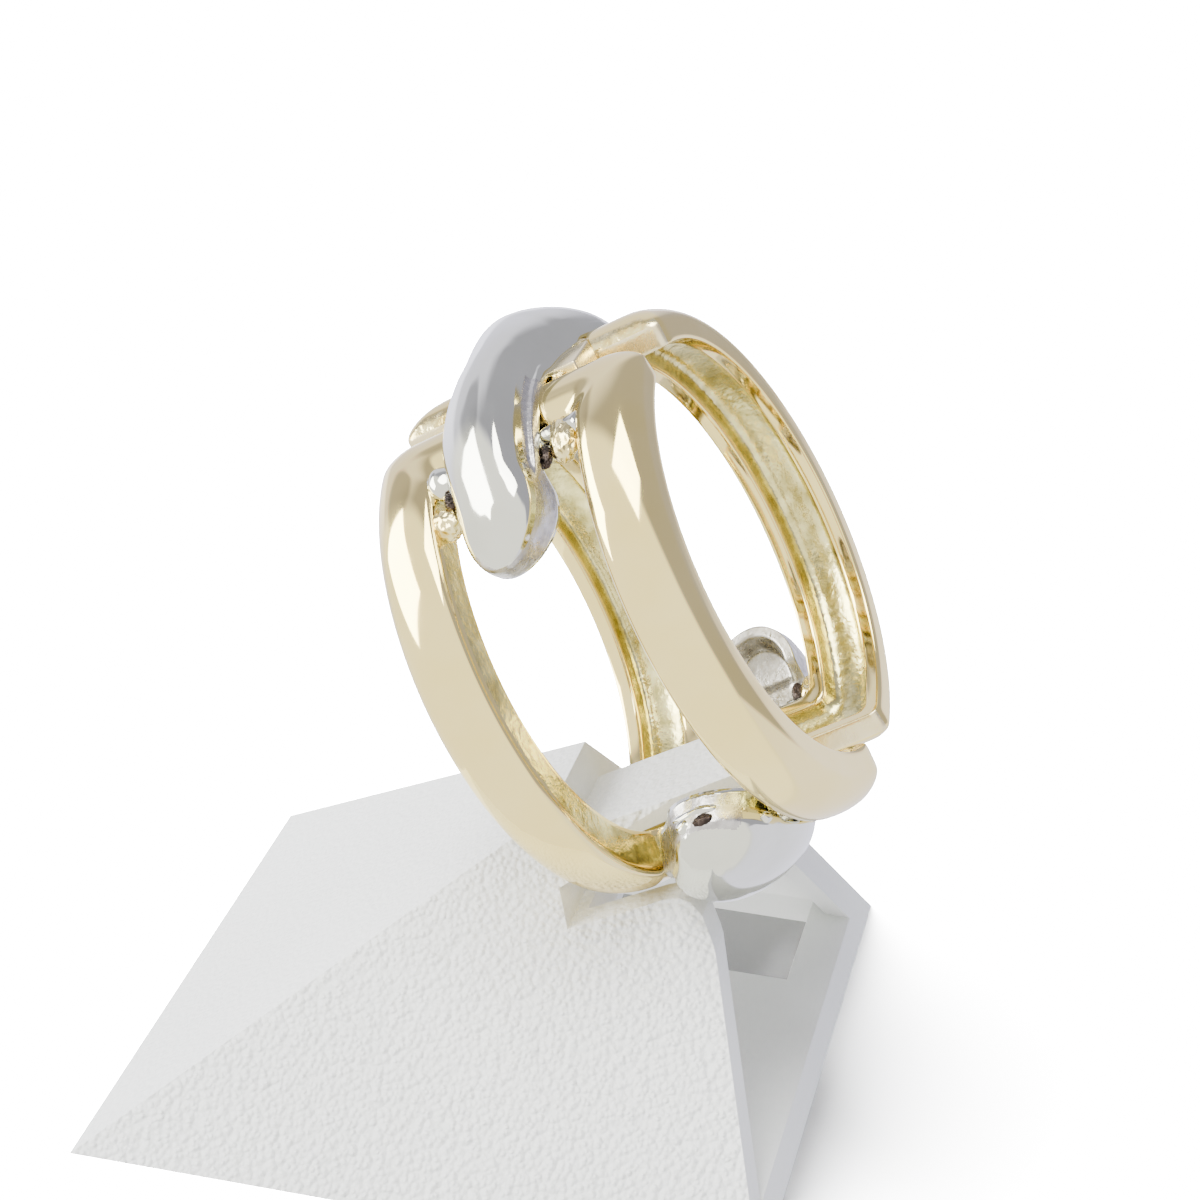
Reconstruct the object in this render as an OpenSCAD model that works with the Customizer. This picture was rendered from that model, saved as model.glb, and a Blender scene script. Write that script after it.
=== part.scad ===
// Two-tone gold ring on a small display stand.
// The ring is two open frame-shaped links of yellow gold, bent round the finger, joined over the
// two gaps between their ends by S-shaped connectors of white gold.
// The stand is a thin hollow pyramid, with its tip cut away and a tongue that passes through the ring.
//
// The ring is drawn in a frame of its own: X along the axis of the finger hole, Y across, Z up
// before it is leant over. Angles run from +Y towards +Z, so 90 is its top and 270 its bottom.

/* [Ring] */
// Diameter of the finger hole
finger_d = 17.5; // [17:0.1:17.8]
// Height of a link's crest over the finger hole
crest_h = 1.8; // [1.7:0.02:1.9]
// Share by which the front link stands higher at its lower end
swell = 0.16; // [0:0.01:0.18]
// Half of the angle that one link covers
link_half = 82.5; // [81:0.5:83.5]
// Half of the angle that the window in a link covers
window_half = 64.5; // [62:0.5:66]
// Rounding of the front link's outer corners, in plan
front_corner = 1.2; // [0.8:0.1:1.5]
// Rounding of the back link's outer corners, in plan
back_corner = 0.5; // [0.3:0.1:0.8]
// Rounding of a window's corners, in plan
window_corner = 0.7; // [0.4:0.1:1]

/* [Connectors] */
// Half of the angle that the top connector covers
top_half = 57; // [54:0.5:58]
// Half of the angle that the bottom connector covers
bottom_half = 54.5; // [52:0.5:57]
// Height of the top connector's crown over the finger hole
top_crown = 3.8; // [3.6:0.05:4]
// Height of the bottom connector's crown over the finger hole
bottom_crown = 3.95; // [3.6:0.05:4]
// Reach of a lobe's outer side from the middle of the top connector
top_outer = 2.5; // [2.4:0.05:2.7]
// Reach of a lobe's outer side from the middle of the bottom connector
bottom_outer = 2.8; // [2.6:0.05:2.85]
// Reach of a lobe's window side from the middle of the top connector
top_inner = 1.7; // [1.4:0.05:1.8]
// Reach of a lobe's window side from the middle of the bottom connector
bottom_inner = 1.35; // [1.3:0.05:1.5]
// Extra width of the bottom connector on the front lobe's window side
bottom_shoulder = 1.5; // [1:0.1:1.6]
// Place of the top connector's middle across the band
top_u = 0.15; // [0.1:0.05:0.3]
// Place of the bottom connector's middle across the band
bottom_u = -0.1; // [-0.2:0.05:0.1]
// Sideways shift of both lobe ends of the bottom connector
bottom_skew = 0.5; // [0:0.05:0.5]
// Diameter of the cross pins under the lobes
pin_d = 1.7; // [1.5:0.1:1.9]

/* [Stand] */
// Side of the square base
base_side = 28.2; // [27:0.1:30]
// Height of the full pyramid, before its tip is cut away
full_h = 16.1; // [16:0.05:16.3]
// Place of the tip along X, from the middle of the base
tip_x = 7.3; // [7.2:0.05:7.4]
// Thickness of the walls
wall = 1.0; // [0.8:0.05:1.1]
// Thickness of the floor plate
floor_t = 1.3; // [1:0.1:1.6]

/* [Pose of the ring] */
// Lean of the ring's axis over the floor
lean = 32.4; // [32:0.1:33]
// Place of the ring's centre along X
ring_x = 5.43; // [5.4:0.01:5.5]
// Height of the ring's centre over the floor
ring_z = 21.18; // [21.15:0.01:21.25]

/* [Hidden] */

eps = 0.05;
$fn = 48;
finger_r = finger_d / 2;
gold = [0.85, 0.76, 0.60];
white_gold = [0.80, 0.80, 0.80];
stand_white = [0.93, 0.93, 0.92];

// Radius at which an angle along the band is turned into a length.
band_r = finger_r + 0.85;
function along(angle) = angle * PI / 180 * band_r;

// Edges of each link across the band: [outer left, window left, window right, outer right]
front_edges = [-6.05, -3.1, 3.3, 6.0];
back_edges = [-6.25, -2.8, 2.6, 5.85];

// Section of a link: share of the width from the window's edge outwards, and height over the
// finger hole, for the two long rails and for the two end bars.
// Columns: rail share, rail height, bar share, bar height
link_section = [
    [0.00, 0.00, 0.00, 0.00],
    [0.00, 1.48, 0.00, 1.20],
    [0.05, 1.70, 0.05, 1.38],
    [0.17, 1.78, 0.20, 1.60],
    [0.42, 1.76, 0.45, 1.77],
    [0.68, 1.64, 0.70, 1.68],
    [0.88, 1.38, 0.89, 1.38],
    [1.00, 0.95, 1.00, 0.90],
    [1.00, 0.00, 1.00, 0.00],
    [0.80, 0.00, 0.80, 0.00],
    [0.75, 0.80, 0.75, 0.80],
    [0.26, 0.95, 0.26, 0.90],
    [0.20, 0.00, 0.20, 0.00]
];
section_crest = 1.78;
corner_steps = 5;
rail_steps = 26;
bar_steps = 3;

// 0 below 0, 1 above 1, and a soft step between.
function smooth(x) = x <= 0 ? 0 : x >= 1 ? 1 : x * x * (3 - 2 * x);

// A quarter circle of a loop's corner, from angle a on.
function quarter(c, r, a) = [for (i = [0:corner_steps])
    c + r * [cos(a + 90 * i / corner_steps), sin(a + 90 * i / corner_steps)]];

// The points between p and q, without either.
function between(p, q, n) = [for (i = [1:n - 1]) p + (q - p) * i / n];

// A rounded rectangle on the unrolled band, from -half to half along it and from lo to hi across.
function loop(half, lo, hi, r) =
    let (a = quarter([half - r, hi - r], r, 0),
         b = quarter([-half + r, hi - r], r, 90),
         c = quarter([-half + r, lo + r], r, 180),
         d = quarter([half - r, lo + r], r, 270))
    concat(a, between(a[corner_steps], b[0], rail_steps),
           b, between(b[corner_steps], c[0], bar_steps),
           c, between(c[corner_steps], d[0], rail_steps),
           d, between(d[corner_steps], a[0], bar_steps));

// A place on the unrolled band, [along, across] with a height, wrapped round the finger hole.
function wrap(p, h, middle) =
    let (angle = middle + p[0] / band_r * 180 / PI)
    [p[1], (finger_r + h) * cos(angle), (finger_r + h) * sin(angle)];

// One link: its section is carried round the frame between the window's loop and the outer loop.
// rise is the share by which it stands higher at the end with the larger angles.
module link(edges, middle, corner, rise = 0) {
    inner = loop(along(window_half), edges[1], edges[2], window_corner);
    outer = loop(along(link_half), edges[0], edges[3], corner);
    n = len(inner);
    m = len(link_section);
    points = [for (i = [0:n - 1]) let (
            across = outer[i] - inner[i],
            bar = abs(across[0]) / norm(across),
            scale_h = crest_h / section_crest * (1 + rise * smooth(inner[i][0] / along(window_half))))
        for (row = link_section) let (
            share = row[0] + (row[2] - row[0]) * bar,
            height = (row[1] + (row[3] - row[1]) * bar) * scale_h)
            wrap(inner[i] + across * share, height, middle)];
    faces = [for (i = [0:n - 1], j = [0:m - 1])
        let (i2 = (i + 1) % n, j2 = (j + 1) % m)
            [i * m + j, i2 * m + j, i2 * m + j2, i * m + j2]];
    polyhedron(points, faces, convexity = 8);
}

// A connector's own sizes: half angle, reach of the outer side and of the window side, fall of
// the outer reach towards the tips, sideways shift of the tips, sideways shift of both lobe
// ends, extra shoulder, and crown.
TOP_SHAPE = [top_half, top_outer, top_inner, 0.5, 0.65, 0, 0, top_crown];
BOTTOM_SHAPE = [bottom_half, bottom_outer, bottom_inner, 0.1, 0.35, bottom_skew, bottom_shoulder,
                bottom_crown];
HALF = 0;
OUTER = 1;
INNER = 2;
FALL = 3;
TIP = 4;
SKEW = 5;
SHOULDER = 6;
CROWN = 7;

// Half outline of a connector: how far its right edge lies from its middle, at an angle from the
// junction. Towards smaller angles it is the outer side of a lobe, towards larger ones the side
// that faces the window. The left edge repeats it, turned round.
lobe_round = 11;
step_from = -16;
step_to = 20;
widest_angle = 24;
fall_angle = 22;
junction_dip = 0.3;
function round_end(a, half) =
    let (x = max(0, min(1, (abs(a) - half + lobe_round) / lobe_round)))
    sqrt(max(0, 1 - x * x));
function side_reach(a, shape) =
    let (far = abs(a) - widest_angle,
         outer = shape[OUTER] - junction_dip * smooth(-far / widest_angle)
             - shape[FALL] * smooth(far / fall_angle))
    outer + (shape[INNER] - outer) * smooth((a - step_from) / (step_to - step_from));
function half_outline(a, shape) =
    let (tip = a < 0 ? shape[TIP] : -shape[TIP])
    tip + (side_reach(a, shape) - tip) * round_end(a, shape[HALF]);

// The two edges. The lobe ends are shifted more and more up to skew_angle from the junction. The
// shoulder widens the left side between two angles, over a fade at each.
skew_angle = 40;
shoulder_from = -50;
shoulder_to = 6;
shoulder_fades = [16, 12];
function lobe_skew(a, shape) = shape[SKEW] * smooth(abs(a) / skew_angle);
function shoulder(a, shape) =
    shape[SHOULDER] * smooth((a - shoulder_from) / shoulder_fades[0])
        * smooth((shoulder_to - a) / shoulder_fades[1]);
function right_edge(a, shape) = half_outline(a, shape) + lobe_skew(a, shape);
function left_edge(a, shape) = lobe_skew(a, shape) - half_outline(-a, shape) - shoulder(a, shape);

// Height of a connector's crown along it, over the finger hole.
crown_fall = 0.8;
end_fall = 1.5;
function crown(a, shape) =
    shape[CROWN] - crown_fall * pow(a / shape[HALF], 2) - end_fall * (1 - round_end(a, shape[HALF]));

// Lowest part of a connector's rim: over the bridge, over the end bars, over the cross pins, and
// in the window. lift is how much higher it lies over the front link's swollen lower end.
rim_over_bridge = 1.6;
rim_over_bar = 1.95;
rim_in_window = 0.8;
rim_from = 37;
rim_to = 43;
bridge_angle = 6;
bar_angle = 11;
lift_angle = 8;
function rim(a, lift) =
    let (on_bar = rim_over_bar + lift * smooth(-a / lift_angle),
         past = (abs(a) - bridge_angle) / (bar_angle - bridge_angle),
         outside = rim_over_bridge + (on_bar - rim_over_bridge) * smooth(past))
    outside + (rim_in_window - outside) * smooth((abs(a) - rim_from) / (rim_to - rim_from));

// How far the back of each lobe is hollowed out, from 0 to 1. A wall is left at its tip.
tip_wall = 2;
hollow_fade = 5;
function hollow_back(a, half) =
    smooth((abs(a) - rim_from) / hollow_fade) * smooth((half - tip_wall - abs(a)) / hollow_fade);

// Section of a connector: share of its width, share of its height from rim to crown. The crease
// is on the window side of each lobe, and the last rows are the back.
// Columns: share across, share up
connector_section = [
    [0.00, 0.00],
    [0.00, 0.07],
    [0.03, 0.22],
    [0.10, 0.46],
    [0.23, 0.71],
    [0.40, 0.89],
    [0.57, 0.98],
    [0.69, 1.00],
    [0.83, 0.87],
    [0.93, 0.50],
    [1.00, 0.00],
    [0.82, 0.02],
    [0.76, 0.32],
    [0.50, 0.50],
    [0.24, 0.32],
    [0.18, 0.02]
];
outer_rows = 11;
connector_stations = 38;
turn_angle = 14;

// One connector over the junction at an angle: the lobe towards larger angles has its crease on
// the right, the other, by the half turn that the shape repeats under, on its left.
module connector(junction, shape, middle, lift = 0) {
    half = shape[HALF];
    m = len(connector_section);
    n = connector_stations;
    points = [for (i = [1:n - 1]) let (
            a = half * sin(90 * (2 * i / n - 1)),
            lo = left_edge(a, shape),
            hi = right_edge(a, shape),
            low = rim(a, lift),
            turn = smooth((a / turn_angle + 1) / 2))
        for (j = [0:m - 1]) let (
            row = connector_section[j],
            pair = connector_section[j < outer_rows ? outer_rows - 1 - j : m + outer_rows - 1 - j],
            share = row[0] * turn + (1 - pair[0]) * (1 - turn),
            up = (row[1] * turn + pair[1] * (1 - turn)) * (j < outer_rows ? 1 : hollow_back(a, half)),
            height = low + (crown(a, shape) - low) * up)
            wrap([along(a), middle + lo + (hi - lo) * share], height, junction)];
    tips = [for (a = [-half, half])
        wrap([along(a), middle + right_edge(a, shape)], (rim(a, lift) + crown(a, shape)) / 2, junction)];
    sides = [for (i = [0:n - 3], j = [0:m - 1])
        let (j2 = (j + 1) % m)
            [i * m + j, i * m + j2, (i + 1) * m + j2, (i + 1) * m + j]];
    first_fan = [for (j = [0:m - 1]) [(n - 1) * m, (j + 1) % m, j]];
    last_fan = [for (j = [0:m - 1]) [(n - 1) * m + 1, (n - 2) * m + j, (n - 2) * m + (j + 1) % m]];
    polyhedron(concat(points, tips), concat(sides, first_fan, last_fan), convexity = 8);
}

// A cross pin under a lobe, from rail to rail of the window that the lobe hangs into.
pin_gap = 0.25;
pin_over_finger = 1.3;
pin_angle = 90 - window_half + (pin_d / 2 + pin_gap) / (finger_r + pin_over_finger) * 180 / PI;
module cross_pin(edges, angle, lift = 0) {
    r = finger_r + pin_over_finger + lift;
    translate([edges[1] + pin_gap, r * cos(angle), r * sin(angle)])
        rotate([0, 90, 0]) cylinder(d = pin_d, h = edges[2] - edges[1] - 2 * pin_gap);
}

// The ring leans over the stand.
module leant() {
    translate([ring_x, 0, ring_z]) rotate([0, -lean, 0]) children();
}

module link_front() {
    color(gold) leant() link(front_edges, 180, front_corner, swell);
}

module link_back() {
    color(gold) leant() link(back_edges, 0, back_corner);
}

module connector_top() {
    color(white_gold) leant() union() {
        connector(90, TOP_SHAPE, top_u);
        cross_pin(front_edges, 90 + pin_angle);
        cross_pin(back_edges, 90 - pin_angle);
    }
}

module connector_bottom() {
    color(white_gold) leant() union() {
        connector(270, BOTTOM_SHAPE, bottom_u, swell);
        cross_pin(front_edges, 270 - pin_angle, swell);
        cross_pin(back_edges, 270 + pin_angle);
    }
}

// The block between the end faces of the two links, under a connector.
bridge_w = 5.6;
bridge_low = 0.35;
bridge_high = 1.5;
bridge_gap = 0.02;
module bridge(junction, middle) {
    gap_half = (finger_r + bridge_low) * sin(90 - link_half) - bridge_gap;
    rotate([junction - 90, 0, 0])
        translate([middle - bridge_w / 2, -gap_half, finger_r + bridge_low])
            cube([bridge_w, 2 * gap_half, bridge_high - bridge_low]);
}

module bridge_top() {
    color(gold) leant() bridge(90, top_u);
}

module bridge_bottom() {
    color(gold) leant() bridge(270, bottom_u);
}

// The full pyramid: a wedge along Y cut by a wedge along X, with the tip at tip_x.
module pyramid(side, height) {
    s = side / 2;
    intersection() {
        translate([0, s, 0]) rotate([90, 0, 0])
            linear_extrude(2 * s) polygon([[-s, 0], [s, 0], [tip_x, height]]);
        translate([-s, 0, 0]) rotate([90, 0, 90])
            linear_extrude(2 * s) polygon([[-s, 0], [s, 0], [0, height]]);
    }
}

// The hollow: the same pyramid, moved in by the wall on all sides.
s = base_side / 2;
left_slope = atan(full_h / (s + tip_x));
right_slope = atan(full_h / (s - tip_x));
front_slope = atan(full_h / s);
in_left = wall / sin(left_slope);
in_right = wall / sin(right_slope);
in_front = wall / sin(front_slope);
in_run = 1 / tan(left_slope) + 1 / tan(right_slope);
in_top = (base_side - in_left - in_right) / in_run;
in_tip = -s + in_left + in_top / tan(left_slope);
module hollow() {
    far = base_side;
    intersection() {
        translate([0, s, 0]) rotate([90, 0, 0])
            linear_extrude(2 * s) polygon([[-s + in_left, 0], [s - in_right, 0], [in_tip, in_top]]);
        translate([-far, 0, 0]) rotate([90, 0, 90])
            linear_extrude(2 * far)
                polygon([[-s + in_front, 0], [s - in_front, 0], [0, full_h * (s - in_front) / s]]);
    }
}

// The opening in the steep side: a narrow strip is left at its foot and in front, a wider one behind.
foot_strip = 1.3;
front_strip = 1.6;
back_strip = 2.35;
module side_opening() {
    lift = full_h / s;
    translate([tip_x - 2, 0, 0]) rotate([90, 0, 90]) linear_extrude(base_side)
        polygon([[-s + front_strip + foot_strip / lift, foot_strip],
                 [s - back_strip - foot_strip / lift, foot_strip],
                 [(front_strip - back_strip) / 2, full_h - (front_strip + back_strip) / 2 * lift]]);
}

// Windows in the floor plate, either side of its middle strip.
plate_strip = 4.8;
plate_right = 11.7;
plate_left = -8;
plate_edge = 11.8;
module plate_window() {
    translate([plate_left, plate_strip, -eps])
        cube([plate_right - plate_left, plate_edge - plate_strip, floor_t + 2 * eps]);
}

// The cuts and the tongue are drawn in the ring's frame, as outlines seen from the front:
// [place along the ring's axis, height over its centre].
cut_reach = 30;
module ring_prism(outline, depth) {
    leant() translate([0, depth / 2, 0]) rotate([90, 0, 0]) linear_extrude(depth) polygon(outline);
}

// The wall that closes the hollow beside the ring, and the floor of the slot under it.
notch_u = -7.0;
back_wall_u = -8.1;
back_wall_low = -11.4;
slot_left = [-7.5, -9.55];
slot_mid = [-3.8, -10.35];
module notch() {
    ring_prism([[notch_u, cut_reach], [notch_u, tongue_low], [slot_left[0] + 0.1, tongue_low], slot_left,
                slot_mid, [-3.2, -10.55], [-2.8, -10.9], [-2.5, -11.5], [-2.4, -12.5],
                [-2.4, -cut_reach], [cut_reach, -cut_reach], [cut_reach, cut_reach]],
               2 * base_side);
}

// The tongue: a flat bar through the ring, narrower at its free end, with sloped sides.
tongue_low = -8.2;
tongue_root_h = -7.2;
tongue_tip_h = -7.5;
tongue_end = 0.6;
tongue_root_w = 5.0;
tongue_tip_w = 4.0;
tongue_flare = 0.4;
module tongue() {
    intersection() {
        ring_prism([[back_wall_u + eps, tongue_low], [tongue_end, tongue_low],
                    [tongue_end, tongue_tip_h], [back_wall_u + eps, tongue_root_h]], base_side);
        leant() translate([back_wall_u, 0, tongue_low]) rotate([90, 0, 90])
            linear_extrude(tongue_end - back_wall_u)
                polygon([[-tongue_root_w / 2 - tongue_flare, 0], [tongue_root_w / 2 + tongue_flare, 0],
                         [tongue_root_w / 2, 1], [-tongue_root_w / 2, 1]]);
        leant() translate([0, 0, tongue_low - 1]) linear_extrude(3)
            polygon([[back_wall_u, -tongue_root_w], [back_wall_u, tongue_root_w],
                     [notch_u, tongue_root_w / 2 + tongue_flare],
                     [tongue_end, tongue_tip_w / 2 + tongue_flare],
                     [tongue_end, -tongue_tip_w / 2 - tongue_flare],
                     [notch_u, -tongue_root_w / 2 - tongue_flare]]);
    }
}

module stand() {
    color(stand_white) union() {
        difference() {
            pyramid(base_side, full_h);
            difference() {
                hollow();
                translate([-s, -s, -1]) cube([base_side, base_side, 1 + floor_t]);
                ring_prism([[back_wall_u, cut_reach], [back_wall_u, back_wall_low],
                            [notch_u, back_wall_low], [notch_u, cut_reach]], 2 * base_side);
            }
            side_opening();
            plate_window();
            mirror([0, 1, 0]) plate_window();
            notch();
        }
        tongue();
    }
}

link_front();
link_back();
connector_top();
connector_bottom();
bridge_top();
bridge_bottom();
stand();
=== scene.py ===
# %% [markdown]
# A two-tone gold ring leans on a small white display stand. The CAD model holds its solids, and
# this script dresses them: the links and the connectors are built again with softer edges, the
# stand gets rounded edges and its pebbled skin, and every metal gets its own polish.

# %% Load the fixed frame
import math

import bmesh
import bpy
from mathutils import Matrix, Vector, noise


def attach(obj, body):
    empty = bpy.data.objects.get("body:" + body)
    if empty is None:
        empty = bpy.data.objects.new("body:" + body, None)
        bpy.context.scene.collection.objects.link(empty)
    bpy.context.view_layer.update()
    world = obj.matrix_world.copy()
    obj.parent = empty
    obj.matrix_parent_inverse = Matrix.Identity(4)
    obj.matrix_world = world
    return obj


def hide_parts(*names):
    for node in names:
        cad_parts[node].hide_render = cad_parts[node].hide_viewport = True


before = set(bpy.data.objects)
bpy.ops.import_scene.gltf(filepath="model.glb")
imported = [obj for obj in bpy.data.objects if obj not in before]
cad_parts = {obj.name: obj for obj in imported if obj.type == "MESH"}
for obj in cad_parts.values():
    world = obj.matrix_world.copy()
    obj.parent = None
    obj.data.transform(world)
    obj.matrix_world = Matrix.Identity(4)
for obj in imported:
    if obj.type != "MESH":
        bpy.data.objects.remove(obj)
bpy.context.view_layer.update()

print("CAD nodes:", sorted(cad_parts))

# %% [markdown]
# The camera stands where the photographer stood: in front of the ring, a little to its right and
# well above it, with a long lens. It could be placed by eye, but then nothing could be compared
# closely, so its place was worked out from the stand's corners and the ring.

# %% Camera
CAMERA_PLACE = (0.02719, -0.11023, 0.07593)
CAMERA_TURN = (63.918, -2.275, 13.176)  # degrees round X, Y and Z
CAMERA_LENS, CAMERA_SENSOR = 93.87, 36  # mm
CLIP_START, CLIP_END = 0.01, 10
camera_data = bpy.data.cameras.new("camera")
camera_data.sensor_width = CAMERA_SENSOR
camera_data.lens = CAMERA_LENS
camera_data.clip_start = CLIP_START
camera_data.clip_end = CLIP_END
camera = bpy.data.objects.new("camera", camera_data)
camera.location = CAMERA_PLACE
camera.rotation_euler = [math.radians(angle) for angle in CAMERA_TURN]
bpy.context.scene.collection.objects.link(camera)
bpy.context.scene.camera = camera
print("camera is", round(camera.location.length, 3), "m from the stand's foot")

# %% [markdown]
# The ring is made flat, on a bench where X runs along the band, Y across it and Z is the height
# over the finger. Then it is bent round the finger and leant over, as a goldsmith would bend a
# flat blank. All sizes on the bench are millimetres.

# %% Sizes of the ring, and the way from the bench to the part
FINGER_R = 8.75
BAND_R = 9.6
LEAN = math.radians(32.4)
RING_CENTRE = Vector((5.43, 0, 21.18))
MM = 0.001
print("finger hole:", 2 * FINGER_R, "mm, leaning", round(math.degrees(LEAN), 1), "degrees")


def along(angle):
    """Length on the bench, in mm, of an angle round the finger, in degrees."""
    return math.radians(angle) * BAND_R


def smooth(x):
    """0 below 0, 1 above 1, and a soft step between."""
    x = min(max(x, 0.0), 1.0)
    return x * x * (3 - 2 * x)


def mix(a, b, share):
    return a + (b - a) * share


def bend(bm, middle):
    """Bends the bench's X axis round the finger, with X = 0 at the angle middle."""
    for v in bm.verts:
        angle = math.radians(middle) + v.co.x / BAND_R
        r = FINGER_R + v.co.z
        v.co = Vector((v.co.y, r * math.cos(angle), r * math.sin(angle)))


def lean_over(bm):
    """Leans the ring on the stand and turns millimetres into metres."""
    place = Matrix.Scale(MM, 4) @ Matrix.Translation(RING_CENTRE) @ Matrix.Rotation(-LEAN, 4, "Y")
    bmesh.ops.transform(bm, matrix=place, verts=bm.verts)


def finish_piece(bm, name, materials, levels=0, replaces=None):
    """Makes the bmesh an object that rides on the part's one body."""
    bmesh.ops.recalc_face_normals(bm, faces=bm.faces)
    mesh = bpy.data.meshes.new(name)
    bm.to_mesh(mesh)
    bm.free()
    for material in materials:
        mesh.materials.append(material)
    mesh.polygons.foreach_set("use_smooth", [True] * len(mesh.polygons))
    piece = bpy.data.objects.new(name, mesh)
    bpy.context.scene.collection.objects.link(piece)
    if levels:
        subdivision = piece.modifiers.new("subdivision", "SUBSURF")
        subdivision.levels = levels
        subdivision.render_levels = levels
    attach(piece, "root")
    if replaces:
        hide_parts(replaces)
    print(name, "has", len(mesh.polygons), "faces")
    return piece

# %% [markdown]
# Metals are told apart by colour and by how they scatter light. One gold for all of it would be
# simpler, but the real ring shows how it was made: mirror bright outside, rough as cast inside,
# brushed at the ends and grainy where solder ran. So one function mixes two close colours, a
# range of roughness, the slow waves that a polishing wheel leaves, and a fine grain.

# %% Helpers for materials
def new_material(name):
    material = bpy.data.materials.new(name)
    material.use_nodes = True
    nodes, links = material.node_tree.nodes, material.node_tree.links
    return material, nodes, links, nodes["Principled BSDF"]


def noise_node(nodes, links, coords, scale, detail=3, stretch=None):
    texture = nodes.new("ShaderNodeTexNoise")
    texture.inputs["Scale"].default_value = scale
    texture.inputs["Detail"].default_value = detail
    if stretch:
        mapping = nodes.new("ShaderNodeMapping")
        mapping.inputs["Scale"].default_value = stretch
        links.new(coords, mapping.inputs["Vector"])
        coords = mapping.outputs["Vector"]
    links.new(coords, texture.inputs["Vector"])
    return texture.outputs["Fac"]


def spread(nodes, links, value, low, high, start=0.3, end=0.7):
    """Turns a noise value into a number from low to high."""
    node = nodes.new("ShaderNodeMapRange")
    node.inputs["From Min"].default_value = start
    node.inputs["From Max"].default_value = end
    node.inputs["To Min"].default_value = low
    node.inputs["To Max"].default_value = high
    links.new(value, node.inputs["Value"])
    return node.outputs["Result"]


def blend_colours(nodes, links, value, first, second):
    node = nodes.new("ShaderNodeMix")
    node.data_type = "RGBA"
    node.inputs[6].default_value = (*first, 1)
    node.inputs[7].default_value = (*second, 1)
    links.new(value, node.inputs["Factor"])
    return node.outputs[2]


def add_bump(nodes, links, height, distance, strength=1.0, below=None):
    node = nodes.new("ShaderNodeBump")
    node.inputs["Distance"].default_value = distance
    node.inputs["Strength"].default_value = strength
    links.new(height, node.inputs["Height"])
    if below:
        links.new(below, node.inputs["Normal"])
    return node.outputs["Normal"]


# %% Metal materials
WHEEL_SCALE = 330  # waves per metre, roughly, that the polishing wheel leaves
STREAK_STRETCH = (1, 1, 0.35)  # patches of roughness are drawn out upwards


def metal(name, first, second, rough, tint_scale, wave=0.00002, grain=0.0, grain_scale=9000):
    """A metal: two close colours, a roughness range, slow waviness and fine grain."""
    material, nodes, links, shader = new_material(name)
    coords = nodes.new("ShaderNodeTexCoord").outputs["Object"]
    shader.inputs["Metallic"].default_value = 1.0
    tint = spread(nodes, links, noise_node(nodes, links, coords, tint_scale), 0, 1)
    links.new(blend_colours(nodes, links, tint, first, second), shader.inputs["Base Color"])
    streaks = noise_node(nodes, links, coords, tint_scale * 3, 5, STREAK_STRETCH)
    links.new(spread(nodes, links, streaks, *rough), shader.inputs["Roughness"])
    waves = noise_node(nodes, links, coords, WHEEL_SCALE, 1)
    normal = add_bump(nodes, links, waves, wave)
    if grain:
        grit = noise_node(nodes, links, coords, grain_scale, 4)
        normal = add_bump(nodes, links, grit, grain, below=normal)
    links.new(normal, shader.inputs["Normal"])
    return material


polished_gold = metal("polished_gold", (0.88, 0.70, 0.25), (0.92, 0.75, 0.31), (0.045, 0.10), 300)
cast_gold = metal("cast_gold", (0.42, 0.36, 0.12), (0.88, 0.80, 0.37), (0.11, 0.27), 1100,
                  wave=0.00009, grain=0.00003, grain_scale=3200)
brushed_gold = metal("brushed_gold", (0.80, 0.67, 0.35), (0.93, 0.81, 0.49), (0.20, 0.34), 900,
                     wave=0.00001, grain=0.00001, grain_scale=7000)
solder_gold = metal("solder_gold", (0.62, 0.46, 0.13), (0.97, 0.86, 0.44), (0.06, 0.22), 1600,
                    wave=0.00006, grain=0.00004, grain_scale=2600)
white_gold = metal("white_gold", (0.62, 0.62, 0.52), (0.68, 0.68, 0.58), (0.05, 0.11), 400)
cast_white = metal("cast_white_gold", (0.34, 0.32, 0.27), (0.60, 0.58, 0.52), (0.22, 0.40), 1300,
                   wave=0.00004, grain=0.00002, grain_scale=5000)
rough_white = metal("rough_white_gold", (0.36, 0.34, 0.32), (0.64, 0.62, 0.58), (0.20, 0.38), 1500,
                    wave=0.00005, grain=0.00003, grain_scale=3600)
# painted shade: a near-black metal for the lumps that stand where the ring has dark holes in
# shadow
painted_pit_shade = metal("painted_pit_shade", (0.008, 0.007, 0.006), (0.08, 0.06, 0.05), (0.25, 0.5), 2600,
              wave=0.00005, grain=0.00004, grain_scale=5200)
print("metals:", [m.name for m in bpy.data.materials])

# %% [markdown]
# A link is a rectangular frame with a domed top and a channel underneath, cast hollow to save
# gold. It could be a plate with a hole and rounded edges, but its dome is lower on the end bars
# than on the rails. So its section is given as a row of places: the share of the way from the
# window's edge to the outer edge, and the height over the finger on the rails and on the bars.
# Each row is a rounded rectangle, and neighbouring rows are bridged, so the section turns each
# corner with a mitre.

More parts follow.
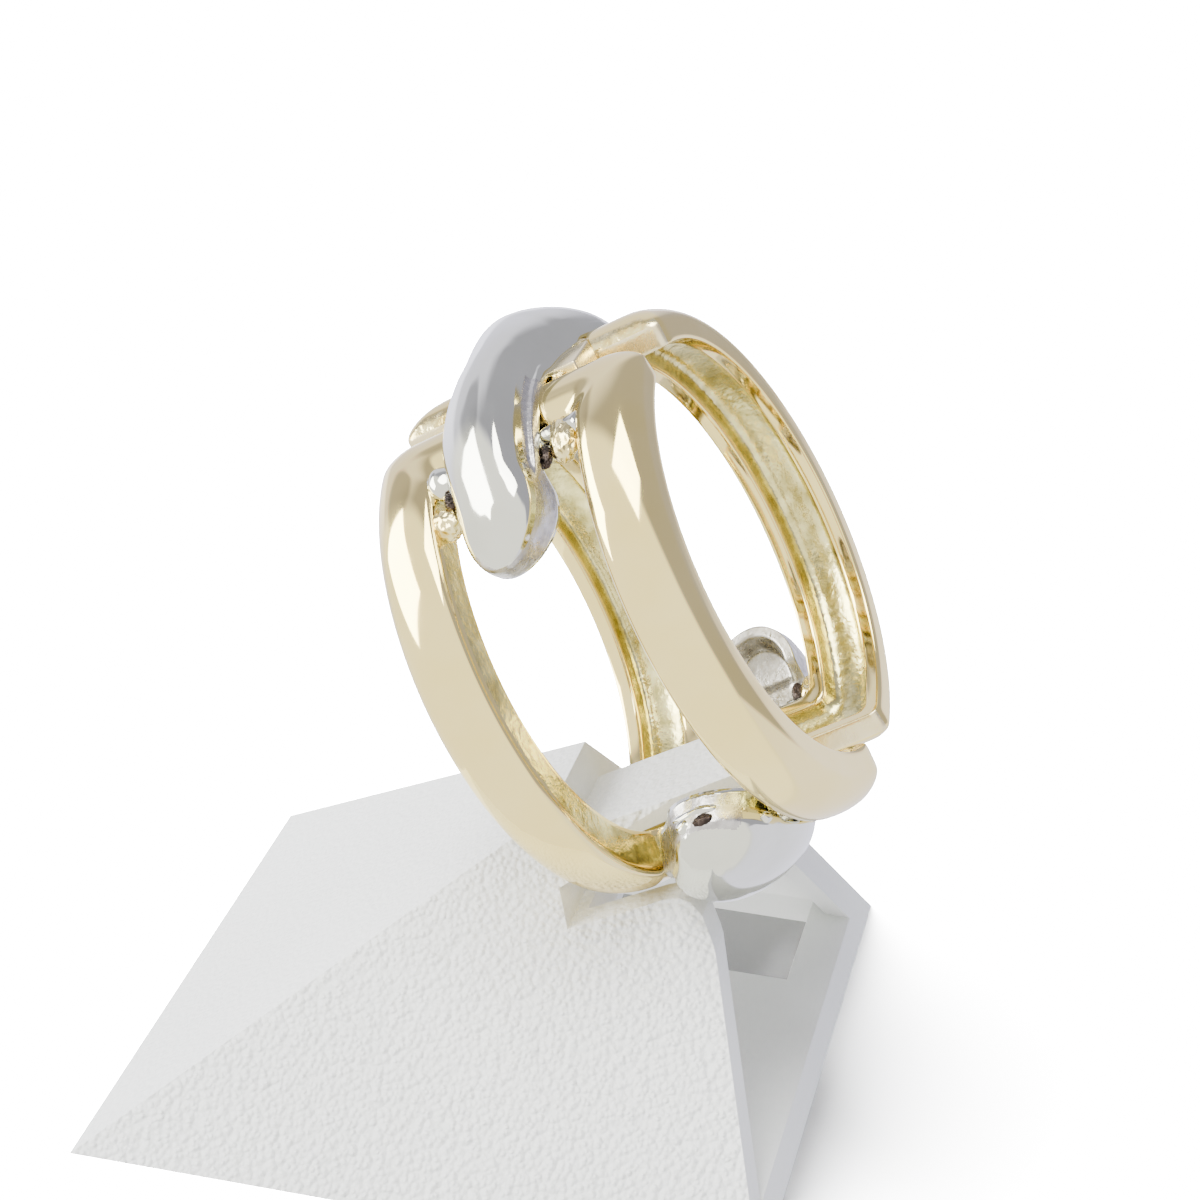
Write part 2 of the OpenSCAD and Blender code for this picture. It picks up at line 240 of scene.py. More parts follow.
# %% Section of a link
LINK_HALF, WINDOW_HALF = along(82.5), along(64.5)
WINDOW_CORNER = 0.7
CORNER_SEGMENTS = 5
LINK_ROWS = [  # share, height on the rails, height on the bars, finish of the strip that follows
    (0.000, 0.10, 0.10, "cast"), (0.000, 0.80, 0.70, "cast"),
    (0.000, 1.38, 1.10, "polished"), (0.012, 1.52, 1.22, "polished"),
    (0.050, 1.66, 1.36, "polished"), (0.120, 1.76, 1.52, "polished"),
    (0.240, 1.83, 1.68, "polished"), (0.400, 1.83, 1.79, "polished"),
    (0.560, 1.78, 1.78, "polished"), (0.720, 1.67, 1.68, "polished"),
    (0.860, 1.46, 1.43, "edge"), (0.955, 1.20, 1.15, "edge"),
    (0.995, 0.98, 0.93, "side"), (1.000, 0.84, 0.82, "side"),
    (1.000, 0.45, 0.45, "side"), (1.000, 0.08, 0.08, "side"),
    (0.985, 0.01, 0.01, "polished"), (0.950, 0.00, 0.00, "polished"),
    (0.840, 0.00, 0.00, "polished"), (0.800, 0.03, 0.03, "polished"),
    (0.788, 0.16, 0.16, "cast"), (0.765, 0.55, 0.55, "cast"),
    (0.690, 0.78, 0.78, "cast"), (0.500, 0.84, 0.84, "cast"),
    (0.320, 0.80, 0.80, "cast"), (0.245, 0.56, 0.56, "cast"),
    (0.212, 0.16, 0.16, "polished"), (0.200, 0.03, 0.03, "polished"),
    (0.160, 0.00, 0.00, "polished"), (0.030, 0.00, 0.00, "polished"),
    (0.006, 0.02, 0.02, "polished"),
]
POLISHED, CAST, BRUSHED, FILED = 0, 1, 2, 3  # places in a link's list of materials
FINISHES = {"polished": POLISHED, "edge": POLISHED, "side": POLISHED, "cast": CAST}
print("section of a link:", len(LINK_ROWS), "rows")


def frame_row(bm, half, low, high, corner, rail_height, bar_height):
    """The edges of one rounded rectangle on the bench."""
    corners = bmesh.ops.create_grid(bm, x_segments=1, y_segments=1, size=1)["verts"]
    bmesh.ops.scale(bm, vec=(half, (high - low) / 2, 1), verts=corners)
    bmesh.ops.translate(bm, vec=(0, (low + high) / 2, 0), verts=corners)
    bmesh.ops.bevel(bm, geom=corners, offset=corner, offset_type="OFFSET",
                    segments=CORNER_SEGMENTS, profile=0.5, affect="VERTICES", material=-1)
    face = next(f for f in bm.faces if len(f.verts) > 4 and all(e.is_boundary for e in f.edges))
    edges, verts = list(face.edges), list(face.verts)
    for v in verts:
        on_bar = smooth((abs(v.co.x) - (half - corner)) / corner)
        v.co.z = mix(rail_height, bar_height, on_bar)
    bmesh.ops.delete(bm, geom=[face], context="FACES_ONLY")
    return edges


# %% Making a link
BRUSHED_STRIP, FILED_STRIP = 0.2, 0.3  # faces this near a link's end, in mm, are not polished
LONG_EDGE, LONG_CUTS = 12, 30  # edges longer than this, in mm, are cut so that they can bend
BAR_EDGE, BAR_CUTS = 3, 5


def make_link(name, edges, corner, middle, swell=0.0, filed=False):
    """edges: outer left, window left, window right and outer right, across the band."""
    bm = bmesh.new()
    rows = []
    for share, rail_height, bar_height, _ in LINK_ROWS:
        rows.append(frame_row(
            bm, mix(WINDOW_HALF, LINK_HALF, share), mix(edges[1], edges[0], share),
            mix(edges[2], edges[3], share), mix(WINDOW_CORNER, corner, share),
            rail_height, bar_height))
    for i, (_, _, _, finish) in enumerate(LINK_ROWS):
        strip = bmesh.ops.bridge_loops(bm, edges=rows[i] + rows[(i + 1) % len(rows)])["faces"]
        for face in strip:
            x = face.calc_center_median().x
            on_end = finish == "side" and abs(x) > LINK_HALF - BRUSHED_STRIP
            face.material_index = BRUSHED if on_end else FINISHES[finish]
            if filed and finish == "edge" and x > LINK_HALF - FILED_STRIP:
                face.material_index = FILED
    long_edges = [e for e in bm.edges if e.calc_length() > LONG_EDGE]
    bmesh.ops.subdivide_edges(bm, edges=long_edges, cuts=LONG_CUTS, use_grid_fill=True)
    bar_edges = [e for e in bm.edges if abs(e.verts[0].co.y - e.verts[1].co.y) > BAR_EDGE]
    bmesh.ops.subdivide_edges(bm, edges=bar_edges, cuts=BAR_CUTS, use_grid_fill=True)
    for v in bm.verts:
        v.co.z *= 1 + swell * smooth(v.co.x / WINDOW_HALF)
    bend(bm, middle)
    lean_over(bm)
    return finish_piece(bm, name, [polished_gold, cast_gold, brushed_gold, solder_gold],
                        2)


# %% The two links
FRONT_EDGES, FRONT_CORNER, FRONT_SWELL = (-6.05, -3.1, 3.3, 6.0), 1.2, 0.16
BACK_EDGES, BACK_CORNER = (-6.25, -2.8, 2.6, 5.85), 0.5
link_front = make_link("front_link", FRONT_EDGES, FRONT_CORNER, 180, FRONT_SWELL)
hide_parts("link_front")
link_back = make_link("back_link", BACK_EDGES, BACK_CORNER, 0, filed=True)
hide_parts("link_back")

# %% [markdown]
# A connector is an S with two lobes, cast in white gold and soldered over the gap. It could be
# carved from a block, but its dome is mirror bright and shows every facet. So the dome starts as
# a fine grid, which is laid over the S: the grid's ends are drawn round as a square is drawn into
# a disc, so no point of the dome gathers many edges. The steep sides have to follow the outline,
# so they are rows of faces drawn outwards from the grid's edge.

# %% Outline of a connector
TOP = {"half": 57, "outer": 2.5, "inner": 1.7, "fall": 0.5, "tip": 0.65, "skew": 0.0,
       "shoulder": 0.0, "crown": 3.8, "middle": 0.15, "lift": 0.0}
BOTTOM = {"half": 54.5, "outer": 2.8, "inner": 1.35, "fall": 0.1, "tip": 0.35, "skew": 0.5,
          "shoulder": 1.5, "crown": 3.95, "middle": -0.1, "lift": 0.16}
STEP_FROM, STEP_TO, WIDEST_ANGLE, FALL_ANGLE, JUNCTION_DIP = -16, 20, 24, 22, 0.3
SKEW_ANGLE, SHOULDER_FROM, SHOULDER_TO, SHOULDER_FADES = 40, -50, 6, (16, 12)
LOBE_ROUND = 12.5
STRAIGHT_SHARE = 0.92  # how much of the grid goes to the part between the round tips
EASE = 0.4  # how much the grid's rows gather towards the sides
print("connectors reach", TOP["half"], "and", BOTTOM["half"], "degrees from the junction")


def side_reach(a, shape):
    """How far the right side lies from the middle: outer side below 0, window side above."""
    far = abs(a) - WIDEST_ANGLE
    outer = (shape["outer"] - JUNCTION_DIP * smooth(-far / WIDEST_ANGLE)
             - shape["fall"] * smooth(far / FALL_ANGLE))
    return mix(outer, shape["inner"], smooth((a - STEP_FROM) / (STEP_TO - STEP_FROM)))


def sides(a, shape):
    """Left and right side of the connector at an angle from the junction."""
    shift = shape["skew"] * smooth(abs(a) / SKEW_ANGLE)
    shoulder = (shape["shoulder"] * smooth((a - SHOULDER_FROM) / SHOULDER_FADES[0])
                * smooth((SHOULDER_TO - a) / SHOULDER_FADES[1]))
    return shift - side_reach(-a, shape) - shoulder, shift + side_reach(a, shape)


def lay_out(v, half, reach):
    """Turns a grid point, -1 to 1 both ways, into (angle, x, y) within a reach of the middle.

    The grid's ends become round: x runs from 0 to the reach into the tip, y runs across.
    """
    straight = (half - LOBE_ROUND) / half * STRAIGHT_SHARE
    y = (1 - EASE) * v.co.y + EASE * math.sin(v.co.y * math.pi / 2)
    if abs(v.co.x) <= straight:
        return v.co.x / straight * (half - LOBE_ROUND), 0.0, y * reach
    x = (abs(v.co.x) - straight) / (1 - straight)
    x, y = x * math.sqrt(1 - y * y / 2) * reach, y * math.sqrt(1 - x * x / 2) * reach
    return math.copysign(half - LOBE_ROUND + x * LOBE_ROUND, v.co.x), x, y


def move_out(place, reach, half):
    """The same place at another reach from the middle."""
    a, x, y = place
    if x <= 0:
        return a, x, math.copysign(reach, y)
    grown = reach / math.hypot(x, y)
    return math.copysign(half - LOBE_ROUND + x * grown * LOBE_ROUND, a), x * grown, y * grown


# %% [markdown]
# Across its width a connector is a dome that leans. It rises slowly from its outer side, and
# towards the window it drops in a crease and a steep wall. At the junction the two sides change
# places, as in any S. The dome could be sculpted by hand, but a few heights with a smooth line
# through them give both lobes of both connectors the same shape.

# %% Section of a connector
SECTION = [  # share of the width towards the window side and share of the height: as a plain dome,
             # with the ledge over the bars, and with the wall where the lobe hangs in the window
    (0.000, 0.02, 0.000, 0.02, 0.000, 0.02), (0.006, 0.12, 0.006, 0.12, 0.006, 0.12),
    (0.030, 0.25, 0.030, 0.25, 0.030, 0.25), (0.100, 0.47, 0.100, 0.47, 0.100, 0.47),
    (0.200, 0.665, 0.200, 0.665, 0.200, 0.665), (0.320, 0.82, 0.320, 0.82, 0.320, 0.82),
    (0.450, 0.93, 0.450, 0.93, 0.450, 0.93), (0.560, 0.985, 0.560, 0.985, 0.560, 0.985),
    (0.650, 1.00, 0.650, 1.00, 0.660, 1.00), (0.730, 0.98, 0.730, 0.98, 0.770, 0.975),
    (0.800, 0.92, 0.800, 0.92, 0.860, 0.91), (0.860, 0.81, 0.860, 0.81, 0.925, 0.80),
    (0.910, 0.65, 0.905, 0.66, 0.962, 0.68), (0.935, 0.55, 0.922, 0.33, 0.972, 0.52),
    (0.960, 0.40, 0.950, 0.25, 0.982, 0.37), (0.980, 0.28, 0.984, 0.22, 0.991, 0.25),
    (0.995, 0.12, 0.995, 0.12, 0.997, 0.12), (1.000, 0.02, 1.000, 0.02, 1.000, 0.02),
]
CREASE_FROM, CREASE_TO = 1, 14  # degrees from the junction over which the crease comes in
SWAP_HALF = 14  # degrees on either side of the junction over which the sides change places
print("section of a connector:", len(SECTION), "rows")


def on_line(rows, share):
    """The height at a share of the width, on a smooth line through the rows."""
    share = min(max(share, 0.0), 1.0)
    k = max(i for i, row in enumerate(rows[:-1]) if row[0] <= share)
    (x0, y0), (x1, y1) = rows[k], rows[k + 1]
    slope = (y1 - y0) / (x1 - x0)
    before = slope if k == 0 else (y0 - rows[k - 1][1]) / (x0 - rows[k - 1][0])
    after = slope if k + 2 == len(rows) else (rows[k + 2][1] - y1) / (rows[k + 2][0] - x1)
    start = 0 if before * slope <= 0 else 2 * before * slope / (before + slope)
    end = 0 if after * slope <= 0 else 2 * after * slope / (after + slope)
    t = (share - x0) / (x1 - x0)
    width = x1 - x0
    return (y0 * (2 * t**3 - 3 * t**2 + 1) + start * width * (t**3 - 2 * t**2 + t)
            + y1 * (3 * t**2 - 2 * t**3) + end * width * (t**3 - t**2))


def rows_at(a):
    """The section's rows at an angle: the crease fades away towards the junction."""
    in_window = smooth((abs(a) - RIM_FROM) / (RIM_TO - RIM_FROM))
    crease = smooth((abs(a) - CREASE_FROM) / (CREASE_TO - CREASE_FROM))
    rows = []
    for row in SECTION:
        over_bars = [mix(row[i], row[i + 2], crease) for i in (0, 1)]
        rows.append([mix(over_bars[i], row[i + 4], in_window) for i in (0, 1)])
    return rows


def section(share, a, rows):
    """Share of the height at a share of the width, from left to right, at an angle."""
    swap = smooth((a + SWAP_HALF) / (2 * SWAP_HALF))
    return mix(on_line(rows, 1 - share), on_line(rows, share), swap)


# %% [markdown]
# The rim of a connector lies on the bridges and on the links' end bars, and inside the windows it
# hangs lower. Each lobe is hollow underneath, as a casting is to save gold. Both could be cut
# from a thick blank, but heights over the finger, worked out from the angle, keep the rim seated
# on the metal below it all the way round.

# %% Heights of a connector
CROWN_FALL, END_FALL, RIM_THICKNESS = 0.8, 0.35, 0.1
RIM_OVER_BRIDGE, RIM_OVER_BAR, RIM_IN_WINDOW, RIM_FROM, RIM_TO = 1.35, 1.66, 0.8, 37, 43
BRIDGE_END, BAR_FROM, LIFT_ANGLE = 6, 11, 8  # degrees from the junction
SKIRT = 0.25  # share of the height below which the sides hang down into the window
ROOF_THICKNESS, ROOF_RISE = 1.3, 5  # mm of metal over the hollow, degrees in which it rises
HOLLOW_REACH, HOLLOW_ROUND = 0.82, 0.22
print("a connector's crown is up to", BOTTOM["crown"], "mm over the finger")


def rims(a, shape):
    """Height of the rim over the bars and bridges, and how low it hangs."""
    on_bar = RIM_OVER_BAR + shape["lift"] * smooth(-a / LIFT_ANGLE)
    past_bridge = smooth((abs(a) - BRIDGE_END) / (BAR_FROM - BRIDGE_END))
    seat = mix(RIM_OVER_BRIDGE, on_bar, past_bridge)
    return seat, mix(seat, RIM_IN_WINDOW, smooth((abs(a) - RIM_FROM) / (RIM_TO - RIM_FROM)))


def crown(a, x, shape):
    return shape["crown"] - CROWN_FALL * (a / shape["half"]) ** 2 - END_FALL * x * x


def dome(x, y, a):
    """Share of the height at a place in the outline: x runs into the round tip, y across."""
    rows = rows_at(a)
    if x <= 0:
        return section((y + 1) / 2, a, rows)
    r = min(math.hypot(x, y), 1.0)
    left, right = section((1 - r) / 2, a, rows), section((1 + r) / 2, a, rows)
    return mix(left, right, smooth(0.5 + 0.5 * y / r))


def height_on_connector(x, y, a, shape):
    seat, low = rims(a, shape)
    high, share = crown(a, x, shape), dome(x, y, a)
    if share >= SKIRT:
        return mix(seat, high, share)
    return mix(low + RIM_THICKNESS, mix(seat, high, SKIRT), share / SKIRT)


def height_under_connector(x, y, a, shape):
    seat, low = rims(a, shape)
    roof = max(0.0, crown(a, x, shape) - ROOF_THICKNESS - low)
    r = min(math.hypot(x, y), 1.0)
    rise = smooth((abs(a) - RIM_FROM) / ROOF_RISE) * smooth((HOLLOW_REACH - r) / HOLLOW_ROUND)
    return low + roof * rise


# %% [markdown]
# No polishing wheel reaches into the windows, so the lower part of each wall there is left rough.
# It could be a texture, but faces picked by their place on the lobe need no painted map.

# %% Making a connector
GRID_ALONG, GRID_ACROSS = 160, 44
WALL = 0.45  # share of the height below which the side towards the window is left rough
WALL_FROM, TIP_WALL = 14, 0.6  # the wall starts this far from the junction, and turns the tip
CAST_WHITE, ROUGH_WHITE = 1, 2  # places in a connector's list of materials
GRID_REACH = 0.80  # the grid makes the dome up to here, and rows along the outline make its sides
SIDE_REACHES = [0.81, 0.822, 0.836, 0.852, 0.868, 0.884, 0.90, 0.914, 0.924, 0.934, 0.944, 0.954,
                0.964, 0.973, 0.982, 0.989, 0.994, 0.998, 1.0]


def make_connector(name, junction, shape):
    bm = bmesh.new()
    top = bmesh.ops.create_grid(bm, x_segments=GRID_ALONG, y_segments=GRID_ACROSS, size=1)["verts"]
    outline = [e for e in bm.edges if e.is_boundary]
    back = bmesh.ops.duplicate(bm, geom=bm.faces[:] + bm.edges[:] + bm.verts[:])
    under = {back["vert_map"][v]: lay_out(v, shape["half"], 1.0) for v in top}
    under_faces = [g for g in back["geom"] if isinstance(g, bmesh.types.BMFace)]
    under_edges = [g for g in back["geom"] if isinstance(g, bmesh.types.BMEdge) and g.is_boundary]
    places = {v: lay_out(v, shape["half"], GRID_REACH) for v in top}
    for reach in SIDE_REACHES:
        row = bmesh.ops.extrude_edge_only(bm, edges=outline)["geom"]
        grown = {}
        for v in [g for g in row if isinstance(g, bmesh.types.BMVert)]:
            inner = next(e.other_vert(v) for e in v.link_edges if e.other_vert(v) in places)
            grown[v] = move_out(places[inner], reach, shape["half"])
        places.update(grown)
        outline = [g for g in row if isinstance(g, bmesh.types.BMEdge) and g.is_boundary]
    for side, height in ((places, height_on_connector), (under, height_under_connector)):
        for v, (a, x, y) in side.items():
            left, right = sides(a, shape)
            shift = shape["skew"] * smooth(abs(a) / SKEW_ANGLE)
            centre = mix((left + right) / 2, shift - math.copysign(shape["tip"], a), x * x)
            across = shape["middle"] + centre + y * (right - left) / 2
            v.co = Vector((along(a), across, height(x, y, a, shape)))
    for face in {f for v in places for f in v.link_faces}:
        a, x, y = (sum(places[v][i] for v in face.verts) / len(face.verts) for i in range(3))
        towards_window = y * a > 0 or x > TIP_WALL
        if abs(a) > WALL_FROM and towards_window and dome(x, y, a) < WALL:
            face.material_index = ROUGH_WHITE
    bmesh.ops.bridge_loops(bm, edges=outline + under_edges)
    for face in under_faces:
        face.material_index = CAST_WHITE
    bend(bm, junction)
    lean_over(bm)
    return finish_piece(bm, name, [white_gold, cast_white, rough_white])


# %% The two connectors
connector_top = make_connector("top_connector", 90, TOP)
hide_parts("connector_top")
connector_bottom = make_connector("bottom_connector", 270, BOTTOM)
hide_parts("connector_bottom")

# %% [markdown]
# Under each lobe a short pin crosses the window from rail to rail and carries the connector. Where
# pin and rail meet, the solder has run into rough lumps. Near-black lumps among them are painted
# shade, where the ring has dark holes in shadow. A pin could be a plain cylinder, but on the real
# ring it is thicker at both ends, where the solder has crept along it. Run solder has no straight
# line in it, so a lump is a ball drawn out and dented.

# %% Pins and solder
FRONT_WINDOW, BACK_WINDOW = FRONT_EDGES[1:3], BACK_EDGES[1:3]
SHORT_WINDOW = (0.6, 3.3)  # the pin of the bottom connector's front lobe starts under the lobe
PIN_ANGLE, PIN_R, PIN_H, PIN_FLARE, PIN_SIDES, PIN_CUTS = 28.6, 0.46, 1.2, 0.12, 28, 28
PIN_OVERLAP = 0.3  # how much longer than its window a pin is
PIN_DENT, PIN_DENTS = 0.07, 1.7  # depth in mm, and how close together
LUMPS = [  # angle from the junction, share from rail to rail, height, half sizes along, across, up
    (28.6, 0.05, 1.32, 0.74, 0.66, 0.58, "silver"),
    (30.6, 0.72, 1.42, 0.42, 0.34, 0.36, "silver"),
    (32.0, 0.91, 1.42, 0.98, 0.56, 0.46, "gold"),
    (39.2, 0.05, 1.15, 0.64, 0.66, 0.52, "gold"),
    # the two near-black lumps that follow are painted shade of dark holes between pin, solder and
    # rail
    (34.8, 0.12, 1.46, 0.34, 0.32, 0.24, "painted_pit_shade"),
    (34.4, 0.78, 1.42, 0.50, 0.28, 0.20, "painted_pit_shade"),
]
TIP_LUMPS = [  # the bottom connector's front lobe: solder run along its tip, and a near-black lump in it as painted shade of a pit
    (52.9, 0.39, 1.35, 0.28, 0.95, 0.30, "silver"),
    (53.3, 0.46, 1.70, 0.18, 0.38, 0.36, "silver"),
    # the near-black lump that follows is painted shade of a pit in the solder
    (53.5, 0.345, 1.75, 0.16, 0.46, 0.26, "painted_pit_shade"),
    (44.0, 0.05, 1.75, 0.26, 0.22, 0.24, "silver"),
]
SEAM_LUMPS = [  # beside the bridge: angle, place across, height, half sizes along, across, up
    (6.9, 1.90, 1.32, 0.34, 0.50, 0.20), (-9.6, 2.40, 1.46, 0.62, 0.30, 0.20),
]
# the third finish is the near-black painted shade of holes
LUMP_FINISHES = {"silver": 0, "gold": 1, "painted_pit_shade": 2}
DENTS, GRAINS = (0.9, 0.12), (0.3, 0.10)  # size and depth on a ball of radius 1
print("pins cross windows of", FRONT_WINDOW, BACK_WINDOW, "and", SHORT_WINDOW)


def roughen(verts, size, depth):
    """Pushes points in and out from the origin by noise."""
    for v in verts:
        v.co *= 1 + depth * noise.noise(v.co / size)


def add_pin(bm, window, a, height):
    """A pin across a window, thicker at both ends."""
    middle, width = sum(window) / 2, window[1] - window[0] + PIN_OVERLAP
    place = Matrix.Translation((along(a), middle, height)) @ Matrix.Rotation(math.pi / 2, 4, "X")
    pin = bmesh.new()
    bmesh.ops.create_cone(pin, cap_ends=True, segments=PIN_SIDES, radius1=PIN_R,
                          radius2=PIN_R, depth=width, matrix=place)
    long_edges = [e for e in pin.edges if e.calc_length() > width / 2]
    bmesh.ops.subdivide_edges(pin, edges=long_edges, cuts=PIN_CUTS)
    for v in pin.verts:
        end = abs(v.co.y - middle) / (width / 2)
        swell = 1 + PIN_FLARE * smooth((end - 0.5) / 0.5)
        v.co.x = along(a) + (v.co.x - along(a)) * swell
        v.co.z = height + (v.co.z - height) * swell
        v.co.x += PIN_DENT * noise.noise(v.co * PIN_DENTS)
        v.co.z += PIN_DENT * noise.noise(v.co * PIN_DENTS + Vector((9, 9, 9)))
    mesh = bpy.data.meshes.new("pin")
    pin.to_mesh(mesh)
    pin.free()
    bm.from_mesh(mesh)
    bpy.data.meshes.remove(mesh)


def add_lump(bm, place, half_sizes, finish):
    lump = bmesh.ops.create_icosphere(bm, subdivisions=5, radius=1)["verts"]
    roughen(lump, *DENTS)
    if finish != "silver":
        roughen(lump, *GRAINS)
    bmesh.ops.scale(bm, vec=half_sizes, verts=lump)
    bmesh.ops.translate(bm, vec=place, verts=lump)
    for face in {f for v in lump for f in v.link_faces}:
        face.material_index = LUMP_FINISHES[finish]


# %% The pins of the two connectors
def make_pins(name, junction, lift, front_window, front_lumps):
    """The pins and lumps under both lobes of a connector. The front link lies on one side."""
    bm = bmesh.new()
    front_side = 1 if junction == 90 else -1
    for side in (-1, 1):
        in_front = side == front_side
        up = lift if in_front else 0.0
        add_pin(bm, front_window if in_front else BACK_WINDOW, side * PIN_ANGLE, PIN_H + up)
        window = FRONT_WINDOW if in_front else BACK_WINDOW
        for a, share, height, *half_sizes, finish in front_lumps if in_front else LUMPS:
            across = mix(*window, share if side == 1 else 1 - share)
            add_lump(bm, (along(side * a), across, height + up), half_sizes, finish)
        for a, across, height, *half_sizes in SEAM_LUMPS:
            add_lump(bm, (along(side * a), side * across, height), half_sizes, "gold")
    bend(bm, junction)
    lean_over(bm)
    return finish_piece(bm, name, [white_gold, solder_gold, painted_pit_shade])


pins_top = make_pins("top_pins", 90, 0.0, FRONT_WINDOW, LUMPS)
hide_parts("connector_top")
pins_bottom = make_pins("bottom_pins", 270, 0.16, SHORT_WINDOW, TIP_LUMPS)
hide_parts("connector_bottom")

# %% [markdown]
# The stand is a thin moulding of white plastic. Its mould was textured outside only: coarse
# pebbles on the front slope, finer ones on the others, and none inside. Modelled pebbles would
# take millions of faces, so three skins of one kind differ in the depth of their bump.

# %% Skins of the stand
PEBBLE_SCALE, PEBBLE_ROUNDNESS, SKIN_GRAIN_SCALE = 4000, 0.6, 2400
SKIN_COLOURS, SKIN_TINT_SCALE = ((0.75, 0.765, 0.735), (0.80, 0.815, 0.785)), 60
SKIN_ROUGHNESS = 0.55


def make_skin(name, pebble_depth):
    material, nodes, links, shader = new_material(name)
    coords = nodes.new("ShaderNodeTexCoord").outputs["Object"]
    tint = spread(nodes, links, noise_node(nodes, links, coords, SKIN_TINT_SCALE, 2), 0, 1)
    links.new(blend_colours(nodes, links, tint, *SKIN_COLOURS), shader.inputs["Base Color"])
    shader.inputs["Roughness"].default_value = SKIN_ROUGHNESS
    pebbles = nodes.new("ShaderNodeTexVoronoi")
    pebbles.feature = "SMOOTH_F1"
    pebbles.inputs["Scale"].default_value = PEBBLE_SCALE
    pebbles.inputs["Smoothness"].default_value = PEBBLE_ROUNDNESS
    links.new(coords, pebbles.inputs["Vector"])
    grain = noise_node(nodes, links, coords, SKIN_GRAIN_SCALE, 3)
    normal = add_bump(nodes, links, grain, pebble_depth)
    normal = add_bump(nodes, links, pebbles.outputs["Distance"], -pebble_depth, 1.0, normal)
    links.new(normal, shader.inputs["Normal"])
    return material


SKINS = [make_skin("pebbled_white", 0.00012), make_skin("soft_white", 0.00005),
         make_skin("smooth_white", 0.00001)]
PEBBLED, SOFT, SMOOTH = 0, 1, 2
print("skins:", [skin.name for skin in SKINS])

# %% [markdown]
# The stand's CAD solid already has its shape, and so have the small blocks between the links' end
# faces. Building them again would only repeat it. So a copy of each solid is merged, its flat
# faces are joined, and its edges are rounded a little, as a moulding's and a filed block's are.

# %% Helpers for solids that only get rounded edges
MERGE_DISTANCE, FLAT_ANGLE, SHARP_ANGLE = 1e-6, math.radians(0.5), math.radians(12)


def copy_solid(node):
    """A CAD solid as a bmesh, with its points merged and its flat faces joined."""
    bm = bmesh.new()
    bm.from_mesh(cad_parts[node].data)
    bmesh.ops.remove_doubles(bm, verts=bm.verts, dist=MERGE_DISTANCE)
    bmesh.ops.dissolve_limit(bm, angle_limit=FLAT_ANGLE, verts=bm.verts, edges=bm.edges)
    return bm


def round_edges(bm, edges, offset):
    bmesh.ops.bevel(bm, geom=edges, offset=offset, offset_type="OFFSET", segments=3, profile=0.5,
                    affect="EDGES", material=-1, clamp_overlap=True)


# %% The stand
STAND_ROUND = 0.00018
UP, OPEN_SIDE, FRONT_SIDE = 0.1, 0.2, -0.5  # limits of a face's normal along Z, X and Y
FLOOR_PLATE_TOP = 0.002
bm = copy_solid("stand")
sharp = [e for e in bm.edges if e.is_manifold and e.calc_face_angle() > SHARP_ANGLE]
round_edges(bm, sharp, STAND_ROUND)
bm.normal_update()
for face in bm.faces:
    normal, height = face.normal, face.calc_center_median().z
    if normal.z < UP or normal.x > OPEN_SIDE or height < FLOOR_PLATE_TOP:
        face.material_index = SMOOTH
    else:
        face.material_index = PEBBLED if normal.y < FRONT_SIDE else SOFT
stand = finish_piece(bm, "display_stand", SKINS, replaces="stand")
for polygon in stand.data.polygons:
    polygon.use_smooth = False

# %% Bridges
BRIDGE_ROUND = 0.0001
for node in ("bridge_top", "bridge_bottom"):
    bm = copy_solid(node)
    round_edges(bm, bm.edges[:], BRIDGE_ROUND)
    finish_piece(bm, node.replace("_", "_block_"), [brushed_gold], replaces=node)

# %% [markdown]
# The stand stood on a white sheet. A sheet that is white by itself would throw its light back
# under the ring and flatten it. So the floor is one wide square of middle grey, and lamps of its
# own, further down, make it look white.

# %% Floor
FLOOR_HALF, FLOOR_GREY, FLOOR_ROUGHNESS = 1.5, 0.35, 0.8
bm = bmesh.new()
bmesh.ops.create_grid(bm, x_segments=1, y_segments=1, size=FLOOR_HALF)
floor_mesh = bpy.data.meshes.new("floor")
bm.to_mesh(floor_mesh)
bm.free()
floor = bpy.data.objects.new("floor", floor_mesh)
bpy.context.scene.collection.objects.link(floor)
floor_material, _, _, floor_shader = new_material("white_floor")
floor_shader.inputs["Base Color"].default_value = (FLOOR_GREY, FLOOR_GREY, FLOOR_GREY, 1)
floor_shader.inputs["Roughness"].default_value = FLOOR_ROUGHNESS
floor_mesh.materials.append(floor_material)
print("floor:", 2 * FLOOR_HALF, "m square")

# %% [markdown]
# Polished metal shows the room more than itself. The room could be a picture wrapped round the
# ring, but a few soft levels of light by direction are enough and stay editable: a wall of bright
# cloth on the photographer's side, a dimmer far side with a glow and a dark gap in it, and a pale
# table below.

# %% Room
FRONT_LEVEL, BACK_LEVEL, GLOW_LEVEL, LOW_LEVEL, CURTAIN_SHARE = 2.25, 0.66, 1.0, 1.9, 0.45
FRONT_COLOUR, BACK_COLOUR = (1.0, 0.99, 0.98), (1.0, 1.0, 1.22)
FRONT_WAY = (-0.42, -0.85, -0.33)  # towards the bright cloth
CLOTH_EDGE, TABLE_EDGE = (-0.04, 0.14), (-0.02, 0.10)  # how each level of light fades in
GLOW_EDGE, CURTAIN_EDGE = (0.72, 0.92), (0.96, 0.985)
GLOW_WAY = (-0.59, 0.76, 0.26)  # towards the left part of the far wall
CURTAIN_WAY = (-0.87, 0.37, 0.32)  # towards a dark gap beside the left lamp
world = bpy.data.worlds.new("tent")
bpy.context.scene.world = world
world.use_nodes = True
world_nodes, world_links = world.node_tree.nodes, world.node_tree.links
way = world_nodes.new("ShaderNodeTexCoord").outputs["Generated"]


